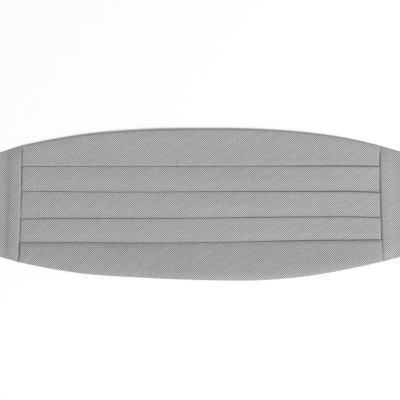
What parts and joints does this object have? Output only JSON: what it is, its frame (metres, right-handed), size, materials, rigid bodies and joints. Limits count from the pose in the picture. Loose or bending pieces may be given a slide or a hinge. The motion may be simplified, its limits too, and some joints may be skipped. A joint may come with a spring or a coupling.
{
  "type": "cummerbund",
  "caption": "Pleated waist sash laid open and flat, with plain tapering side panels, webbing straps and a hook, worn over a waistband.",
  "frame": {"origin": "on the surface that it lies on, at the underside of the middle of the pleated front", "axes": "+X along its length, from the hook's end to the loop's end; +Y towards the edge that is worn uppermost; +Z out of its face, up off the surface"},
  "size_m": [0.9341, 0.1269, 0.0057],
  "materials": {
    "satin": "satin",
    "webbing": "matte",
    "hook_metal": "satin"
  },
  "bodies": {
    "root": {"pleated_front": "satin", "wing_left": "satin", "wing_right": "satin", "strap_left": "webbing", "strap_right": "webbing", "clasp_hook": "hook_metal"}
  },
  "joints": []
}
